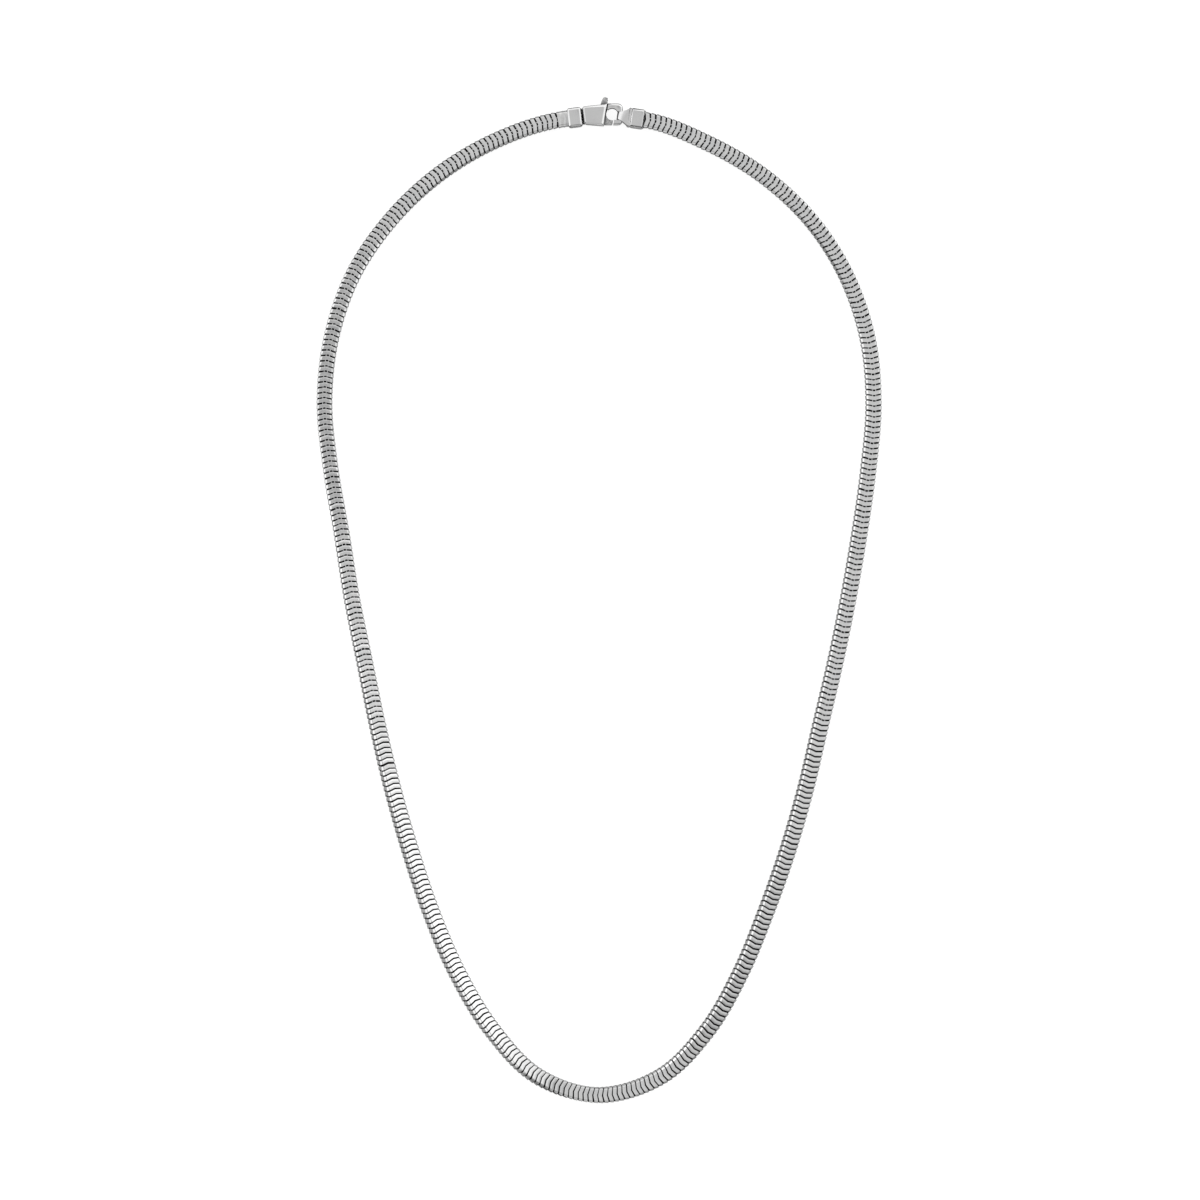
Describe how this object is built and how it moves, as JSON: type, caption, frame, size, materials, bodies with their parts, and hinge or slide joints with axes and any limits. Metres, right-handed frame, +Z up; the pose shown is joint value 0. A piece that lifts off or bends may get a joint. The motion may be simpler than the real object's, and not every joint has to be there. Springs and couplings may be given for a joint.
{
  "type": "square snake chain necklace",
  "caption": "Square snake chain necklace lying in a closed loop, with box end caps, a strap eye and a sprung lobster clasp.",
  "frame": {"origin": "middle of the necklace's footprint, on the surface that it lies on", "axes": "+Y along the loop's length, towards the clasp; +X to the right with the clasp's thumb nub pointing away; +Z up"},
  "size_m": [0.1413, 0.2516, 0.0048],
  "materials": {
    "chain_silver": "polished",
    "cap_silver": "polished",
    "clasp_silver": "polished",
    "lever_silver": "satin",
    "inner_silver": "satin"
  },
  "bodies": {
    "necklace": {"snake_chain": "chain_silver", "clasp_cap": "cap_silver", "swivel_post": "inner_silver", "clasp_body": "clasp_silver", "lever_pin": "inner_silver", "eye_cap": "cap_silver"},
    "lever": {"clasp_lever": "lever_silver"}
  },
  "joints": [
    {"name": "lever_hinge", "type": "hinge", "parent": "necklace", "child": "lever", "pos_m": [0.0003, 0.1201, 0.0024], "axis": [0, 0, 1], "range_deg": [0, 26], "stiffness_Nm_per_rad": 0.008}
  ]
}
